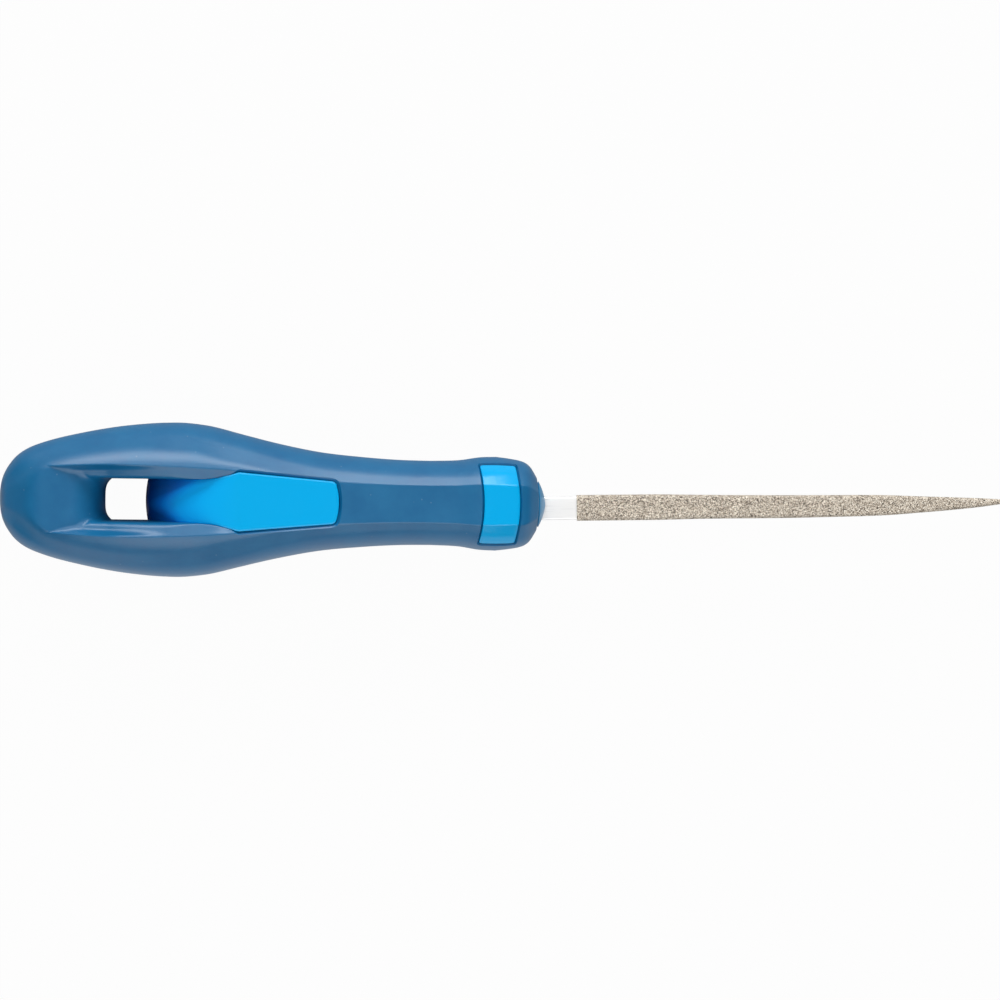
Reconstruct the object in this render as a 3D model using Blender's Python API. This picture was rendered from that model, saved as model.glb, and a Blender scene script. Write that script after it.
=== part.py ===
"""Flat pointed diamond file in a two-part moulded handle with a hang hole.

Metres, +Z up. The handle lies along +X with its butt at -X, the file points to +X, and the
hang hole runs along Z. The handle is drawn from its butt, on its own axis, and two empties
carry everything: one on the handle's axis at the butt and one on the file's axis at the nose.
"""

import math

import bmesh
import bpy
from mathutils import Matrix

# Handle. A station is measured from the butt along its axis, a setback from the nose.
HANDLE_LENGTH = 0.1201
BULB_STATION = 0.0385
NECK_SETBACK = 0.0255
COLLAR_SETBACK = 0.0111
GROOVE_SETBACK = 0.0019
NECK_STATION = HANDLE_LENGTH - NECK_SETBACK
COLLAR_STATION = HANDLE_LENGTH - COLLAR_SETBACK
GROOVE_STATION = HANDLE_LENGTH - GROOVE_SETBACK
BULB_WIDTH = 0.0339
BULB_HEIGHT = 0.0264
NECK_WIDTH = 0.0185
NECK_HEIGHT = 0.0176
COLLAR_WIDTH = 0.0206
COLLAR_HEIGHT = 0.0198

# Half-width along the handle, as shares of the named widths between the named stations.
# The butt is listed against the square root of its place, because its end is blunt.
BUTT_ROOT_shares = (
    (0, 0), (0.17, 0.345), (0.24, 0.45), (0.34, 0.585),
    (0.48, 0.715), (0.68, 0.852), (0.83, 0.95), (1, 1),
)
WAIST_WIDTH_shares = (
    (0, 1), (0.1, 0.965), (0.255, 0.695), (0.41, 0.425),
    (0.57, 0.205), (0.73, 0.085), (0.88, 0.015), (1, 0),
)
WAIST_HEIGHT_shares = (
    (0, 1), (0.1, 0.97), (0.255, 0.7), (0.41, 0.46),
    (0.57, 0.235), (0.68, 0.125), (0.84, 0.03), (1, 0),
)
COLLAR_shares = ((0, 0), (0.44, 0.23), (0.76, 0.88), (1, 1))
FRONT_shares = (
    (0, 1), (0.29, 0.955), (0.49, 0.905), (0.59, 0.85),
    (0.685, 0.757), (0.8, 0.555), (0.9, 0.34), (1, 0.135),
)

# Cross-section along the handle: flat top and side facets and the edge radius, as shares of
# the half-width, the half-height and the smaller of the two, against the place in the handle.
TOP_FACET_shares = (
    (0, 0.2), (0.1, 0.36), (0.3, 0.45), (0.36, 0.45), (0.44, 0.473),
    (0.63, 0.476), (0.79, 0.444), (0.92, 0.44), (0.985, 0.4), (1, 0.3),
)
SIDE_FACET_shares = (
    (0, 0.1), (0.36, 0.12), (0.44, 0.2), (0.63, 0.36),
    (0.79, 0.42), (0.92, 0.42), (0.985, 0.35), (1, 0.3),
)
EDGE_RADIUS_shares = (
    (0, 0.8), (0.1, 0.7), (0.36, 0.62), (0.44, 0.42), (0.63, 0.27),
    (0.79, 0.21), (0.92, 0.19), (0.985, 0.35), (1, 0.6),
)

# Places of the sections, as shares of each stretch, and points in each rounded edge
STATION_ROOT_shares = (0.1, 0.18, 0.27, 0.37, 0.48, 0.6, 0.72, 0.85, 1)
WAIST_STATION_shares = (0.09, 0.18, 0.255, 0.34, 0.42, 0.5, 0.58, 0.66, 0.76, 0.88, 1)
COLLAR_STATION_shares = (0.3, 0.55, 0.78, 1)
FRONT_STATION_shares = (0.3, 0.5, 0.62, 0.72)
NOSE_STATION_shares = (0.35, 0.7, 1)
ARC_STEPS = 3

# Hang hole and the open channel around it, alike on both faces
HOLE_WIDTH = 0.0093
HOLE_REAR = 0.0232
HOLE_FRONT = 0.0326
HOLE_ARC_RISE = 0.0010
WALL_DRAFT = 0.0005
FLANK_DEPTH = 0.0030
RIM_WIDTH = 0.0146
BUTT_RAMP_TOP = 0.0090
RAMP_ANGLES = (0, 14, 28, 42, 55, 67, 78, 87)
SLOT_STATION_shares = (0.25, 0.5, 0.72, 0.86, 1)
FLOOR_shares = (-1, -0.5, 0, 0.5, 1)

# Light-coloured tongue and panel on both faces, and the window near the nose
PANEL_REAR = 0.0530
PANEL_FRONT = 0.0748
PANEL_INSET = 0.0006
PANEL_RECESS = 0.0002
LOW_TONGUE_shares = (0.06, 0.3, 0.55, 0.8, 1)
HIGH_TONGUE_shares = (0.35, 0.65, 0.88, 1)
PANEL_STATION_shares = (0.25, 0.5, 0.75, 1)
LOWER_LEVEL_share = 0.9
WINDOW_SETBACK = 0.0056
WINDOW_LENGTH = 0.0079
WINDOW_FRONT = HANDLE_LENGTH - WINDOW_SETBACK
WINDOW_REAR = WINDOW_FRONT - WINDOW_LENGTH
WINDOW_WIDTH = 0.0176
WINDOW_BOW = 0.0011
WINDOW_RECESS = 0.0002
WINDOW_STATION_shares = (0, 0.33, 0.67, 1)
WINDOW_SLICE_shares = (-1, -0.85, -0.7, -0.52, -0.25, 0, 0.25, 0.52, 0.7, 0.85, 1)

# Core inside the grip
GRIP_WALL = 0.0024
CORE_REAR = 0.0060
CORE_SETBACK = 0.0046
CORE_FRONT = HANDLE_LENGTH - CORE_SETBACK
HOLE_LINING = 0.0015
TONGUE_ROOT = 0.0460
LEAST_EDGE_RADIUS = 0.0004

# Nose bush, a spigot that ends in the handle's blunt nose
SPIGOT_RADIUS = 0.0042
SPIGOT_DEPTH = 0.0081
SPIGOT_REAR = HANDLE_LENGTH - SPIGOT_DEPTH

# File: a flat steel blank with a tang, in line with an axis that leans a little to +Y
FILE_LENGTH = 0.1000
FILE_LEAN = math.radians(1.57)
FILE_OFFSET = 0.00088
BARE_SHANK = 0.0068
BLANK_WIDTH = 0.0051
BLANK_THICKNESS = 0.0018
BLANK_EDGE_RADIUS = 0.0004
WIDEST_ROUND_share = 0.33
BLANK_WIDTH_shares = (
    (0, 1), (0.17, 1), (0.3, 0.925), (0.46, 0.885), (0.6, 0.84), (0.685, 0.8),
    (0.74, 0.745), (0.8, 0.62), (0.88, 0.455), (0.95, 0.28), (1, 0.11),
)
BLANK_THICKNESS_shares = ((0, 1), (0.5, 1), (0.75, 0.82), (1, 0.42))
TANG_LENGTH = 0.0440
TANG_END_WIDTH = 0.0022
TANG_END_THICKNESS = 0.0012
COAT_THICKNESS = 0.000225
BOND_GAP = 0.00005

# Clearances
FIT_GAP = 0.0003
CUT_OVERRUN = 0.0015
LEAST_RING = 0.00005

FACES = ((1, "top"), (-1, "bottom"))
SMOOTH_ANGLE = math.radians(28)


def smooth_value(shares, place):
    """The value at a place of a table of (place, value) pairs, on a smooth curve through them."""
    place = min(max(place, shares[0][0]), shares[-1][0])
    last = len(shares) - 1
    span = next(i for i in range(last) if place <= shares[i + 1][0])
    (x0, y0), (x1, y1) = shares[span], shares[span + 1]
    slope = (y1 - y0) / (x1 - x0)
    before = slope if span == 0 else (y0 - shares[span - 1][1]) / (x0 - shares[span - 1][0])
    after = slope if span + 1 == last else (shares[span + 2][1] - y1) / (shares[span + 2][0] - x1)
    start = (before + slope) / 2 if before * slope > 0 else 0
    end = (after + slope) / 2 if after * slope > 0 else 0
    t = (place - x0) / (x1 - x0)
    rise = (start * (1 - t) ** 2 * t - end * t**2 * (1 - t)) * (x1 - x0)
    return y0 * (1 - t) ** 2 * (1 + 2 * t) + y1 * t**2 * (3 - 2 * t) + rise


def between(first, second, share):
    """The length that lies a share of the way from the first to the second."""
    return first + (second - first) * share


def half_size(x, bulb, neck, collar, waist_shares):
    """Half of the handle's width or height at x, from its full sizes at the three stations."""
    if x <= BULB_STATION:
        return bulb / 2 * smooth_value(BUTT_ROOT_shares, math.sqrt(max(x, 0) / BULB_STATION))
    if x <= NECK_STATION:
        share = smooth_value(waist_shares, (x - BULB_STATION) / (NECK_STATION - BULB_STATION))
        return between(neck, bulb, share) / 2
    if x <= COLLAR_STATION:
        share = smooth_value(COLLAR_shares, (x - NECK_STATION) / (COLLAR_STATION - NECK_STATION))
        return between(neck, collar, share) / 2
    share = (x - COLLAR_STATION) / (HANDLE_LENGTH - COLLAR_STATION)
    return collar / 2 * smooth_value(FRONT_shares, share)


def half_width(x):
    return half_size(x, BULB_WIDTH, NECK_WIDTH, COLLAR_WIDTH, WAIST_WIDTH_shares)


def half_height(x):
    return half_size(x, BULB_HEIGHT, NECK_HEIGHT, COLLAR_HEIGHT, WAIST_HEIGHT_shares)


def top_facet(x):
    """Half of the width of the flat top facet at x."""
    return half_width(x) * smooth_value(TOP_FACET_shares, x / HANDLE_LENGTH)


def full_ring(quarter):
    """A ring of (y, z) points from the quarter that runs from the top to the +Y side."""
    back = quarter[::-1]
    return (
        list(quarter)
        + [(y, -z) for y, z in back]
        + [(-y, -z) for y, z in quarter]
        + [(-y, z) for y, z in back]
    )


def handle_ring(x, inset):
    """The handle's cross-section at x, an octagon with rounded edges, drawn in by an inset."""
    width, height = half_width(x), half_height(x)
    place = x / HANDLE_LENGTH
    radius = min(width, height) * smooth_value(EDGE_RADIUS_shares, place)
    top_y, top_z = top_facet(x), height - radius
    side_y, side_z = width - radius, height * smooth_value(SIDE_FACET_shares, place)
    slant = math.atan2(side_y - top_y, top_z - side_z)
    small = max(radius - inset, min(radius, LEAST_EDGE_RADIUS))
    rest = inset - (radius - small)
    across, up = math.cos(slant), math.sin(slant)
    centres = (
        (top_y - rest * (1 - up) / across, top_z - rest),
        (side_y - rest, side_z - rest * (1 - across) / up),
    )
    turns = ((math.pi / 2, slant), (slant, 0))
    quarter = []
    for (y, z), (start, end) in zip(centres, turns):
        for step in range(ARC_STEPS + 1):
            angle = start + (end - start) * step / ARC_STEPS
            quarter.append((y + small * math.cos(angle), z + small * math.sin(angle)))
    return full_ring(quarter)


def surface_height(x, y, inset):
    """Height above the mid-plane of the handle's surface, drawn in by an inset, at x and y."""
    quarter = handle_ring(x, inset)[: 2 * (ARC_STEPS + 1)]
    if abs(y) <= quarter[0][0]:
        return quarter[0][1]
    for (y0, z0), (y1, z1) in zip(quarter, quarter[1:]):
        if y0 < abs(y) <= y1:
            return between(z0, z1, (abs(y) - y0) / (y1 - y0))
    return quarter[-1][1]


def set_at(x, ring):
    """A ring of (y, z) points set at one x."""
    return [(x, y, z) for y, z in ring]


def handle_stations():
    """Places along the handle, from the butt to the last one before the groove."""
    places = [BULB_STATION * root**2 for root in STATION_ROOT_shares]
    places += [between(BULB_STATION, NECK_STATION, share) for share in WAIST_STATION_shares]
    places += [between(NECK_STATION, COLLAR_STATION, share) for share in COLLAR_STATION_shares]
    places += [between(COLLAR_STATION, HANDLE_LENGTH, share) for share in FRONT_STATION_shares]
    return places


def solid(name, rings, frame):
    """An object skinned over rings of points that match one to one, closed at both ends."""
    mesh = bpy.data.meshes.new(name)
    form = bmesh.new()
    rows = [[form.verts.new(point) for point in ring] for ring in rings]
    for row, following in zip(rows, rows[1:]):
        for i in range(len(row)):
            j = (i + 1) % len(row)
            form.faces.new((row[i], row[j], following[j]))
            form.faces.new((row[i], following[j], following[i]))
    form.faces.new(rows[0])
    form.faces.new(rows[-1])
    bmesh.ops.recalc_face_normals(form, faces=form.faces)
    if form.calc_volume(signed=True) < 0:
        bmesh.ops.reverse_faces(form, faces=form.faces)
    form.to_mesh(mesh)
    form.free()
    made = bpy.data.objects.new(name, mesh)
    bpy.context.scene.collection.objects.link(made)
    made.parent = frame
    return made


def helper(made):
    """Marks an object as a shape that only adds to or cuts from another."""
    made.hide_render = True
    made.display_type = "WIRE"
    return made


def combine(target, tool, operation):
    """Adds the tool to the target, or cuts it away, as a live Boolean."""
    step = target.modifiers.new(tool.name, "BOOLEAN")
    step.object = helper(tool)
    step.operation = operation
    step.solver = "EXACT"


def finish(made, color, roughness, metallic):
    """Gives a sub-part its own material and its smooth shading."""
    paint = bpy.data.materials.new(made.name)
    paint.use_nodes = True
    shader = paint.node_tree.nodes["Principled BSDF"]
    shader.inputs["Base Color"].default_value = (*color, 1)
    shader.inputs["Roughness"].default_value = roughness
    shader.inputs["Metallic"].default_value = metallic
    made.data.materials.append(paint)
    made.data.shade_smooth()
    made.data.set_sharp_from_angle(angle=SMOOTH_ANGLE)


def rim_half_width(x):
    """Half of the channel's width at its rim, which closes in towards the panel."""
    closing = min(max((x - TONGUE_ROOT) / (PANEL_REAR - TONGUE_ROOT), 0), 1)
    return between(RIM_WIDTH / 2, top_facet(PANEL_REAR) - PANEL_INSET / 2, closing)


def rim_height(x):
    """Height above the mid-plane of the handle's surface at the channel's rim."""
    return surface_height(x, rim_half_width(x), 0)


def channel_half_width(x, z):
    """Half of the channel's width at x and height z: near-upright walls, then flared flanks."""
    rim = rim_height(x)
    foot = rim - FLANK_DEPTH
    if z <= foot:
        return HOLE_WIDTH / 2 + WALL_DRAFT * max(z, 0) / foot
    foot_width = HOLE_WIDTH / 2 + WALL_DRAFT
    return between(foot_width, rim_half_width(x), (z - foot) / FLANK_DEPTH)


def channel_floors(front):
    """Places along the channel with its floor's height: the butt's round bar, then the hole."""
    top = half_height(BUTT_RAMP_TOP)
    floors = []
    for degrees in RAMP_ANGLES:
        turn = math.radians(degrees)
        floors.append((between(BUTT_RAMP_TOP, HOLE_REAR, math.sin(turn)), top * math.cos(turn)))
    floors.append((HOLE_REAR, -FIT_GAP))
    floors += [(between(HOLE_REAR, front, share), -FIT_GAP) for share in SLOT_STATION_shares]
    return floors


def channel(name, face, grow, front, frame):
    """The channel in one face, up or down, grown on its sides and its rear end."""
    rings = []
    for x, floor in channel_floors(front):
        rim = rim_height(x)
        top = max(rim, floor) + CUT_OVERRUN
        foot = max(rim - FLANK_DEPTH, (floor + top) / 2)
        wide = channel_half_width(x, floor) + grow
        side = [(channel_half_width(x, z) + grow, z) for z in (foot, top)]
        bottom = [(wide * share, floor) for share in FLOOR_shares]
        ring = bottom + side + [(-y, z) for y, z in side[::-1]]
        bow = HOLE_ARC_RISE if x <= HOLE_REAR else 0
        back = grow if x <= HOLE_REAR else 0
        rings.append([(x - back + bow * min(abs(y) / wide, 1) ** 2, y, face * z) for y, z in ring])
    return solid(name, rings, frame)


def panel_height(x):
    """Height of the panel's flat top above the mid-plane."""
    rear, front = half_height(PANEL_REAR), half_height(PANEL_FRONT)
    return between(rear, front, (x - PANEL_REAR) / (PANEL_FRONT - PANEL_REAR)) - PANEL_RECESS


def tongue_places():
    """Places along the tongue and the panel, with the light surface's height at each."""
    top = panel_height(PANEL_REAR)
    foot = rim_height(TONGUE_ROOT) - FLANK_DEPTH
    heights = [foot * share for share in LOW_TONGUE_shares]
    heights += [between(foot, top, share) for share in HIGH_TONGUE_shares]
    places = []
    for height in heights:
        reach = math.sqrt(max(1 - (height / top) ** 2, 0))
        places.append((between(PANEL_REAR, HOLE_FRONT, reach), height))
    for share in PANEL_STATION_shares:
        x = between(PANEL_REAR, PANEL_FRONT, share)
        places.append((x, panel_height(x)))
    return places


def tongue(name, grow, frame):
    """The light tongue that rises out of the hole, with the panel that it runs into."""
    rings = []
    places = tongue_places()
    for x, height in places:
        place = min(x, PANEL_REAR)
        panel_half = top_facet(max(x, PANEL_REAR)) - PANEL_INSET
        foot = min(rim_height(place) - FLANK_DEPTH, height * LOWER_LEVEL_share)
        side = []
        for z in (height, foot, -foot, -height):
            inner = channel_half_width(place, abs(z)) - FIT_GAP
            side.append((min(inner, panel_half) + grow, z))
        if grow:
            widest, top = side[0]
            side = [(widest, top + CUT_OVERRUN), *side, (widest, -top - CUT_OVERRUN)]
        shift = grow if (x, height) == places[-1] else 0
        rings.append(set_at(x + shift, side + [(-y, z) for y, z in side[::-1]]))
    return solid(name, rings, frame)


def window_block(name, grow, frame):
    """The band of the core that fills the window near the nose, with bowed ends."""
    limit = WINDOW_WIDTH / 2 + grow
    inset = -CUT_OVERRUN if grow else WINDOW_RECESS
    slices = []
    for across in WINDOW_SLICE_shares:
        y = limit * across
        bow = WINDOW_BOW * across**2
        top = []
        for share in WINDOW_STATION_shares:
            x = between(WINDOW_REAR - grow, WINDOW_FRONT + grow, share) - bow
            top.append((x, y, surface_height(x, y, inset)))
        slices.append(top + [(x, y, -z) for x, y, z in top[::-1]])
    return solid(name, slices, frame)


def core_form(name, grow, frame):
    """The core's outer form, or, grown, the space that the grip leaves for it."""
    ends = (CORE_REAR - grow, CORE_FRONT + grow)
    places = [x for x in handle_stations() if ends[0] + FIT_GAP < x < ends[1] - FIT_GAP]
    places = [ends[0], *places, ends[1]]
    rings = [set_at(x, handle_ring(x, GRIP_WALL - grow)) for x in places]
    core = solid(name, rings, frame)
    for face, side in FACES:
        eye = channel(name + "_eye_" + side, face, HOLE_LINING - grow, TONGUE_ROOT - grow, frame)
        combine(core, eye, "DIFFERENCE")
    combine(core, tongue(name + "_tongue", grow, frame), "UNION")
    combine(core, window_block(name + "_window", grow, frame), "UNION")
    return core


def circle_ring(radius):
    """A round ring with as many points as the handle's cross-section."""
    count = 8 * (ARC_STEPS + 1)
    turns = [math.pi / 2 - 2 * math.pi * (i + 0.5) / count for i in range(count)]
    return [(radius * math.cos(turn), radius * math.sin(turn)) for turn in turns]


def spigot_bore(name, rear, front, frame):
    rings = [set_at(x, circle_ring(SPIGOT_RADIUS + FIT_GAP)) for x in (rear, front)]
    return solid(name, rings, frame)


def blade_ring(x, width, thickness, grow):
    """A flat section of the blank at x, with rounded edges, grown on all sides."""
    radius = min(BLANK_EDGE_RADIUS, min(thickness, width) * WIDEST_ROUND_share) + grow
    y, z = width / 2 + grow - radius, thickness / 2 + grow - radius
    quarter = []
    for step in range(ARC_STEPS + 1):
        angle = math.pi / 2 * (1 - step / ARC_STEPS)
        quarter.append((y + radius * math.cos(angle), z + radius * math.sin(angle)))
    return set_at(x, full_ring(quarter))


def blade_size(x):
    """The blank's width and thickness at x from the nose, in the part that is coated."""
    share = (x - BARE_SHANK) / (FILE_LENGTH - BARE_SHANK)
    width = BLANK_WIDTH * smooth_value(BLANK_WIDTH_shares, share)
    return width, BLANK_THICKNESS * smooth_value(BLANK_THICKNESS_shares, share)


def blade_places(root, tip):
    """Places along the coated part, at the points of the width table."""
    return [between(root, tip, share) for share, _ in BLANK_WIDTH_shares]


def tang_rings(grow, front):
    """The tapering tang and the straight shank, up to a place on the shank."""
    places = [
        (-TANG_LENGTH - grow, TANG_END_WIDTH, TANG_END_THICKNESS),
        (-SPIGOT_DEPTH, BLANK_WIDTH, BLANK_THICKNESS),
        (front, BLANK_WIDTH, BLANK_THICKNESS),
    ]
    return [blade_ring(x, width, thickness, grow) for x, width, thickness in places]


def build_grip(frame):
    """The dark soft overmould, open at the hole, the panels, the windows and the nose."""
    rings = [set_at(0, handle_ring(LEAST_RING, 0))]
    rings += [set_at(x, handle_ring(x, 0)) for x in handle_stations()]
    front = GROOVE_STATION - FIT_GAP / 2
    rings.append(set_at(front, handle_ring(front, 0)))
    grip = solid("grip_overmould", rings, frame)
    for face, side in FACES:
        cut = channel("grip_channel_" + side, face, 0, PANEL_REAR, frame)
        combine(grip, cut, "DIFFERENCE")
    combine(grip, core_form("core_space", FIT_GAP, frame), "DIFFERENCE")
    bore = spigot_bore("grip_nose_bore", SPIGOT_REAR, HANDLE_LENGTH, frame)
    combine(grip, bore, "DIFFERENCE")
    finish(grip, (0.02, 0.13, 0.27), 0.45, 0)


def build_core(frame, file_frame):
    """The light hard core: eye round the hole, tongue and panels, window band and socket."""
    core = core_form("handle_core", 0, frame)
    socket = solid("core_socket", tang_rings(FIT_GAP, CUT_OVERRUN), file_frame)
    combine(core, socket, "DIFFERENCE")
    bore = spigot_bore("core_nose_bore", SPIGOT_REAR - FIT_GAP, HANDLE_LENGTH, frame)
    combine(core, bore, "DIFFERENCE")
    finish(core, (0.0, 0.38, 0.8), 0.3, 0)


def build_nose_bush(frame, file_frame):
    """The bush in the handle's nose: a round spigot behind a blunt cone, slotted for the shank."""
    seat = GROOVE_STATION + FIT_GAP / 2
    rings = [set_at(x, circle_ring(SPIGOT_RADIUS)) for x in (SPIGOT_REAR, seat)]
    rings.append(set_at(seat, handle_ring(seat, 0)))
    for share in NOSE_STATION_shares:
        x = between(seat, HANDLE_LENGTH, share)
        rings.append(set_at(x, handle_ring(x, 0)))
    bush = solid("nose_bush", rings, frame)
    ends = (-SPIGOT_DEPTH - CUT_OVERRUN, CUT_OVERRUN)
    slot = [blade_ring(x, BLANK_WIDTH, BLANK_THICKNESS, FIT_GAP) for x in ends]
    combine(bush, solid("nose_slot", slot, file_frame), "DIFFERENCE")
    finish(bush, (0.09, 0.25, 0.4), 0.4, 0)


def build_blank(file_frame):
    """The steel blank: tang, bare shank and the tapering blade under the coating."""
    tip = FILE_LENGTH - COAT_THICKNESS - BOND_GAP
    rings = tang_rings(0, BARE_SHANK)
    for x in blade_places(BARE_SHANK, tip)[1:]:
        rings.append(blade_ring(x, *blade_size(x), 0))
    finish(solid("file_blank", rings, file_frame), (0.75, 0.75, 0.74), 0.25, 1)


def build_coating(file_frame):
    """The bonded grit, a thin closed-ended sleeve over the blade."""
    inner_tip = FILE_LENGTH - COAT_THICKNESS
    inner = [blade_ring(x, *blade_size(x), BOND_GAP) for x in blade_places(BARE_SHANK, inner_tip)]
    whole = BOND_GAP + COAT_THICKNESS
    outer = [blade_ring(x, *blade_size(x), whole) for x in blade_places(BARE_SHANK, FILE_LENGTH)]
    coating = solid("diamond_coating", inner[::-1] + outer, file_frame)
    finish(coating, (0.5, 0.43, 0.35), 0.7, 0.2)


def empty(name, matrix):
    made = bpy.data.objects.new(name, None)
    bpy.context.scene.collection.objects.link(made)
    made.matrix_world = matrix
    return made


def overall_length():
    """The length along X of the handle and the leaning file, to the corner of the coated tip."""
    tip_half_width = blade_size(FILE_LENGTH)[0] / 2 + COAT_THICKNESS + BOND_GAP
    reach = FILE_LENGTH * math.cos(FILE_LEAN) + tip_half_width * math.sin(FILE_LEAN)
    return HANDLE_LENGTH + reach


def main():
    for old in list(bpy.data.objects):
        bpy.data.objects.remove(old, do_unlink=True)
    butt = Matrix.Translation((-overall_length() / 2, 0, BULB_HEIGHT / 2))
    nose = butt @ Matrix.Translation((HANDLE_LENGTH, -FILE_OFFSET, 0))
    handle_axis = empty("handle_axis", butt)
    file_axis = empty("file_axis", nose @ Matrix.Rotation(FILE_LEAN, 4, "Z"))
    build_grip(handle_axis)
    build_core(handle_axis, file_axis)
    build_nose_bush(handle_axis, file_axis)
    build_blank(file_axis)
    build_coating(file_axis)


main()
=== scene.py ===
"""Looks of a diamond file in a two-part moulded handle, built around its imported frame.

The handle's pieces are drawn from the butt on the handle's own axis, and the file's from the
nose on the file's axis. A quarter of the grip, of the core's stem and of the bush is shaped and
then mirrored. Lengths are in metres.
"""

import math

import bmesh
import bpy
from mathutils import Matrix, Vector, noise


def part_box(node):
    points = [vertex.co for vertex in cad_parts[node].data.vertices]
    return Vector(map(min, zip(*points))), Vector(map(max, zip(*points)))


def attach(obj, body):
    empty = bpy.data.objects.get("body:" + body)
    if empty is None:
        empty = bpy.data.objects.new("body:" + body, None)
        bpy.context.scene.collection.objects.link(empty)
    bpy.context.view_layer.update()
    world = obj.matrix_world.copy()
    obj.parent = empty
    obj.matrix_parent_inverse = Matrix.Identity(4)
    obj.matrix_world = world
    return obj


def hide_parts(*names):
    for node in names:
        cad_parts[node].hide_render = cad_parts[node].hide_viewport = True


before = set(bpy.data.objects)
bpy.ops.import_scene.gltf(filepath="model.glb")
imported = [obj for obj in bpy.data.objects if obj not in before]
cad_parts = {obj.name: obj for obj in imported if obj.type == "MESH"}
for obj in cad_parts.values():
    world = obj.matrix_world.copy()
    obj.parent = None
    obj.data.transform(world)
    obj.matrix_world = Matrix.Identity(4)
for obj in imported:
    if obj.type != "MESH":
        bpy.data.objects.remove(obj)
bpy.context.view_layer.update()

# Handle. A station is measured from the butt along its axis. The bulb's height is that of its
# crown, which the channel cuts away.
HANDLE_LENGTH = 0.1201
BULB_STATION = 0.0385
NECK_STATION = HANDLE_LENGTH - 0.0255
COLLAR_STATION = HANDLE_LENGTH - 0.0111
GROOVE_STATION = HANDLE_LENGTH - 0.0019
BULB_WIDTH = 0.0339
BULB_HEIGHT = 0.0280
NECK_WIDTH = 0.0185
NECK_HEIGHT = 0.0176
COLLAR_WIDTH = 0.0206
COLLAR_HEIGHT = 0.0198

# Half-widths and half-heights along the handle, as shares of the named sizes between the named
# stations. The butt is listed against the square root of its place, because its end is blunt.
BUTT_WIDTH_shares = (
    (0, 0), (0.107, 0.232), (0.185, 0.362), (0.239, 0.444), (0.283, 0.511), (0.354, 0.6),
    (0.414, 0.66), (0.478, 0.712), (0.585, 0.79), (0.676, 0.85), (0.756, 0.902),
    (0.828, 0.944), (0.894, 0.974), (0.956, 0.994), (1, 1),
)
BUTT_HEIGHT_shares = (
    (0, 0), (0.107, 0.165), (0.169, 0.257), (0.26, 0.36), (0.338, 0.462), (0.414, 0.575),
    (0.453, 0.632), (0.478, 0.666), (0.54, 0.735), (0.6, 0.79), (0.676, 0.85), (0.756, 0.902),
    (0.828, 0.944), (0.894, 0.974), (0.956, 0.994), (1, 1),
)
WAIST_WIDTH_shares = (
    (0, 1), (0.03, 0.997), (0.06, 0.982), (0.1, 0.95), (0.137, 0.91), (0.176, 0.847),
    (0.255, 0.697), (0.41, 0.425), (0.57, 0.205), (0.73, 0.085), (0.88, 0.015), (1, 0),
)
WAIST_HEIGHT_shares = (
    (0, 1), (0.1, 0.91), (0.19, 0.71), (0.255, 0.576), (0.41, 0.378), (0.57, 0.193),
    (0.68, 0.103), (0.84, 0.025), (1, 0),
)
COLLAR_shares = ((0, 0), (0.44, 0.23), (0.76, 0.88), (1, 1))
FRONT_shares = (
    (0, 1), (0.29, 0.96), (0.49, 0.916), (0.59, 0.872), (0.685, 0.785), (0.744, 0.69),
    (0.804, 0.575), (0.863, 0.455), (0.903, 0.365), (0.942, 0.25), (0.975, 0.13), (1, 0.03),
)

# Cross-section against the place in the handle: the flat top and side facets, the radius of the
# crease beside the top facet, and how round the edge beside the side facet is. At 1 one arc
# reaches from the crease to the side.
TOP_FACET_shares = (
    (0, 0.2), (0.3, 0.2), (0.38, 0.26), (0.46, 0.345), (0.54, 0.4), (0.62, 0.425), (0.79, 0.425),
    (0.92, 0.42), (0.985, 0.4), (1, 0.3),
)
SIDE_FACET_shares = (
    (0, 0.1), (0.44, 0.1), (0.56, 0.06), (0.79, 0.03), (0.92, 0.06), (0.985, 0.2), (1, 0.3),
)
CREASE_shares = (
    (0, 0.9), (0.1, 0.87), (0.28, 0.86), (0.36, 0.75), (0.44, 0.5), (0.52, 0.26), (0.58, 0.14),
    (0.64, 0.08), (0.79, 0.05), (0.92, 0.06), (0.97, 0.1), (0.985, 0.2), (1, 0.5),
)
ROUNDNESS_shares = (
    (0, 0.7), (0.1, 0.7), (0.28, 0.72), (0.36, 0.76), (0.44, 0.83), (0.52, 0.91), (0.58, 0.95),
    (0.79, 0.97), (0.92, 0.95), (0.985, 0.8), (1, 0.8),
)

# Hang hole. Both of its ends bow back in the middle, and the rear end's bow fades out over a short
# way in front of it.
HOLE_WIDTH = 0.0090
HOLE_REAR = 0.0232
HOLE_FRONT = 0.0326
HOLE_REAR_BOW = 0.0014
HOLE_REAR_BOW_power = 4
HOLE_REAR_BOW_FADE = 0.0040
HOLE_FRONT_BOW = 0.0005

# Bar behind the hole: it rises a little from the butt's ramp to its top, then rounds down
BUTT_RAMP_TOP = 0.0079
BAR_TOP = 0.0150
BAR_FILLET = 0.0013
FILLET_REACH_share = 0.98
BAR_RISE_slope = 0.05
BAR_ROUND = 0.0012

# Rims of the channel round the hole. Over the neck the rows of the rim run inside the top facet.
RIM_BESIDE = 0.0009
RIM_ROUND = 0.0003
RIM_REAR = 0.0107
RIM_HALF_WIDTH = 0.0078
RIM_shares = ((0, 0.92), (0.35, 1), (0.6, 0.99), (0.82, 0.94), (1, 0.87))
RIM_ON_NECK_share = 0.9

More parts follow.
